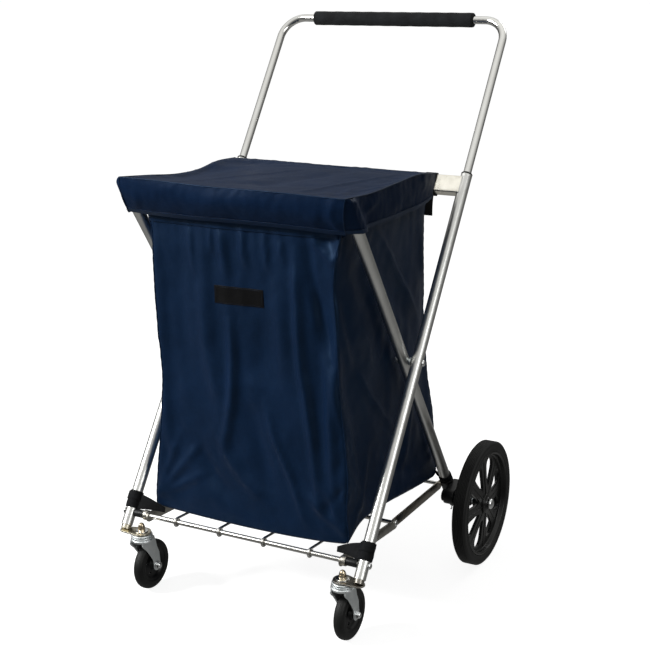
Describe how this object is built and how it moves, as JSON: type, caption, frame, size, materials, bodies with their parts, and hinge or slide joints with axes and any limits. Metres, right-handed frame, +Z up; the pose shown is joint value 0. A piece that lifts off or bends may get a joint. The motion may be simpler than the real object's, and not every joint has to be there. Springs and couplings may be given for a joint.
{
  "type": "folding shopping trolley",
  "caption": "Folding two-wheel shopping trolley with front swivel casters, a telescopic handle and a lidded cloth bag on a folding wire base.",
  "frame": {"origin": "on the floor, under the middle of the whole trolley as it stands", "axes": "+Z up, +Y to the rear where the handle is, +X to the right as seen from the front"},
  "size_m": [0.692, 0.7242, 1.0819],
  "materials": {
    "bright_steel": "bright, lightly brushed",
    "chrome": "polished",
    "zinc": "zinc plated",
    "brass": "yellow passivated",
    "pale_aluminium": "pale, satin",
    "rail_steel": "dark, satin",
    "black_plastic": "moulded, matt",
    "black_rubber": "matt",
    "black_foam": "closed-cell foam, matt",
    "black_webbing": "woven",
    "navy_nylon": "woven, coated inside"
  },
  "bodies": {
    "front_frame": {"long_tube_L": "bright_steel", "long_tube_R": "bright_steel", "tube_bush_L": "black_plastic", "tube_bush_R": "black_plastic", "top_cross_plate": "pale_aluminium", "front_bar": "chrome", "base_bolt_L": "chrome", "base_bolt_R": "chrome", "base_spacer_L": "black_plastic", "base_spacer_R": "black_plastic", "pivot_bolt_L": "chrome", "pivot_bolt_R": "chrome", "pivot_spacer_L": "zinc", "pivot_spacer_R": "zinc", "pivot_nut_L": "zinc", "pivot_nut_R": "zinc", "caster_plate_L": "zinc", "caster_plate_R": "zinc", "bag": "navy_nylon", "front_strap_L": "black_webbing", "front_strap_R": "black_webbing", "top_strap_L": "black_webbing", "top_strap_R": "black_webbing"},
    "handle": {"handle_bar": "chrome", "handle_grip": "black_foam"},
    "rear_frame": {"rear_leg_L": "bright_steel", "rear_leg_R": "bright_steel", "front_top_bar": "bright_steel", "rear_bracket_L": "black_plastic", "rear_bracket_R": "black_plastic", "rear_axle_L": "zinc", "rear_axle_R": "zinc", "axle_cap_L": "zinc", "axle_cap_R": "zinc", "wire_clip_L": "zinc", "wire_clip_R": "zinc"},
    "base_front": {"front_rail_L": "rail_steel", "front_rail_R": "rail_steel", "front_wire_grid": "chrome", "knee_nut_L": "chrome", "knee_nut_R": "chrome"},
    "base_rear": {"rear_rail_L": "rail_steel", "rear_rail_R": "rail_steel", "rear_wire_grid": "chrome"},
    "lid": {"bag_lid": "navy_nylon"},
    "rear_wheel_L": {"rear_tyre_L": "black_rubber", "rear_rim_L": "black_plastic"},
    "caster_L": {"caster_fork_L": "zinc", "caster_axle_L": "zinc", "caster_nut_L": "brass"},
    "caster_wheel_L": {"caster_tyre_L": "black_rubber", "caster_hub_L": "black_plastic"},
    "rear_wheel_R": {"rear_tyre_R": "black_rubber", "rear_rim_R": "black_plastic"},
    "caster_R": {"caster_fork_R": "zinc", "caster_axle_R": "zinc", "caster_nut_R": "brass"},
    "caster_wheel_R": {"caster_tyre_R": "black_rubber", "caster_hub_R": "black_plastic"}
  },
  "joints": [
    {"name": "handle_slide", "type": "slide", "parent": "front_frame", "child": "handle", "axis": [0, 0.5927, 0.8054], "range_m": [-0.165, 0]},
    {"name": "fold", "type": "hinge", "parent": "front_frame", "child": "rear_frame", "pos_m": [0, -0.09045, 0.4719], "axis": [-1, 0, 0], "range_deg": [0, 58], "deforming": ["bag", "bag_lid"]},
    {"name": "base_front_hinge", "type": "hinge", "parent": "front_frame", "child": "base_front", "pos_m": [0, -0.32072, 0.159], "axis": [1, 0, 0], "range_deg": [0, 43.9]},
    {"name": "base_knee", "type": "hinge", "parent": "base_front", "child": "base_rear", "pos_m": [0, -0.09871, 0.137], "axis": [-1, 0, 0], "range_deg": [0, 165.1]},
    {"name": "lid_hinge", "type": "hinge", "parent": "front_frame", "child": "lid", "pos_m": [0, 0.08428, 0.822], "axis": [-1, 0, 0], "range_deg": [0, 110]},
    {"name": "rear_wheel_spin_L", "type": "hinge", "parent": "rear_frame", "child": "rear_wheel_L", "pos_m": [-0.3206, 0.08668, 0.12639], "axis": [1, 0, 0], "continuous": true},
    {"name": "caster_swivel_L", "type": "hinge", "parent": "front_frame", "child": "caster_L", "pos_m": [-0.223, -0.33572, 0.12], "axis": [0, 0, 1], "continuous": true},
    {"name": "caster_wheel_spin_L", "type": "hinge", "parent": "caster_L", "child": "caster_wheel_L", "pos_m": [-0.223, -0.31232, 0.04957], "axis": [1, 0, 0], "continuous": true},
    {"name": "rear_wheel_spin_R", "type": "hinge", "parent": "rear_frame", "child": "rear_wheel_R", "pos_m": [0.3206, 0.08668, 0.12639], "axis": [1, 0, 0], "continuous": true},
    {"name": "caster_swivel_R", "type": "hinge", "parent": "front_frame", "child": "caster_R", "pos_m": [0.223, -0.33572, 0.12], "axis": [0, 0, 1], "continuous": true},
    {"name": "caster_wheel_spin_R", "type": "hinge", "parent": "caster_R", "child": "caster_wheel_R", "pos_m": [0.223, -0.31232, 0.04957], "axis": [1, 0, 0], "continuous": true}
  ],
  "couplings": [
    {"joint": "base_front_hinge", "follows": "fold", "ratio": 0.7561},
    {"joint": "base_knee", "follows": "fold", "ratio": 2.8449}
  ]
}
